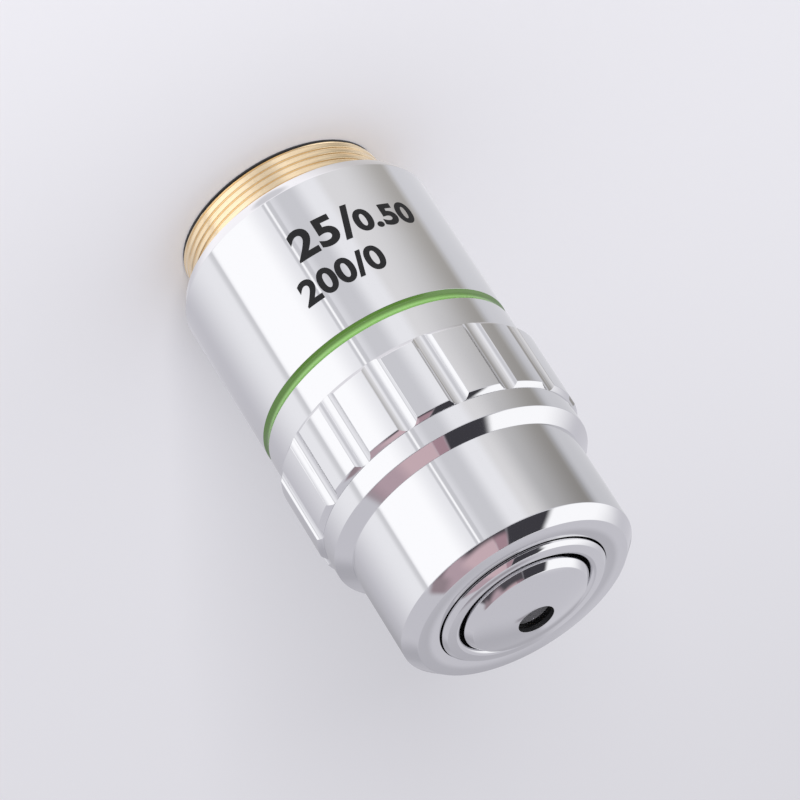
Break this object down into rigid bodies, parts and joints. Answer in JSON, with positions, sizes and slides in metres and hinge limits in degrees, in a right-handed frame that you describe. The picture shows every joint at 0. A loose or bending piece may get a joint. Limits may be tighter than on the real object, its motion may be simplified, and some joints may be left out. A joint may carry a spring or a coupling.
{
  "type": "microscope objective",
  "caption": "Chromed microscope objective with a brass mounting thread, a green colour band, a fluted grip and a spring-loaded lens unit in its nose.",
  "frame": {"origin": "centre of the rear face, at the threaded end, on which the objective stands", "axes": "+Z along the optical axis towards the nose; the engraved numerals face about -Y"},
  "size_m": [0.0264, 0.0264, 0.0487],
  "materials": {
    "satin_chrome": "satin chrome plate on turned brass",
    "brass": "bright turned brass with a cut thread",
    "blackened_metal": "matt black anodised",
    "green_enamel": "glossy enamel filled into a groove",
    "screw_steel": "plain turned steel",
    "spring_steel": "bright spring wire",
    "cell_brass": "plain turned brass",
    "optical_glass": "polished and coated"
  },
  "bodies": {
    "housing": {"rear_baffle": "blackened_metal", "mount_collar": "brass", "barrel": "satin_chrome", "colour_band": "green_enamel", "grip_ring": "satin_chrome", "front_sleeve": "satin_chrome", "guide_screw": "screw_steel", "spring_seat": "screw_steel", "return_spring": "spring_steel"},
    "lens_unit": {"lens_barrel": "satin_chrome", "parfocal_ring": "cell_brass", "parfocal_lock_ring": "cell_brass", "front_cell": "satin_chrome", "front_lens": "optical_glass", "second_cell": "cell_brass", "second_lens": "optical_glass", "spacer_a": "blackened_metal", "doublet_a_cell": "cell_brass", "doublet_a_flint": "optical_glass", "doublet_a_crown": "optical_glass", "spacer_b": "blackened_metal", "aperture_stop": "blackened_metal", "doublet_b_cell": "cell_brass", "doublet_b_flint": "optical_glass", "doublet_b_crown": "optical_glass", "spacer_c": "blackened_metal", "rear_cell": "cell_brass", "rear_flint": "optical_glass", "rear_crown": "optical_glass", "retaining_ring": "blackened_metal"}
  },
  "joints": [
    {"name": "lens_unit_slide", "type": "slide", "parent": "housing", "child": "lens_unit", "axis": [0, 0, -1], "range_m": [0, 0.002], "stiffness_N_per_m": 500, "springref_m": -0.005, "deforming": ["return_spring"]}
  ]
}
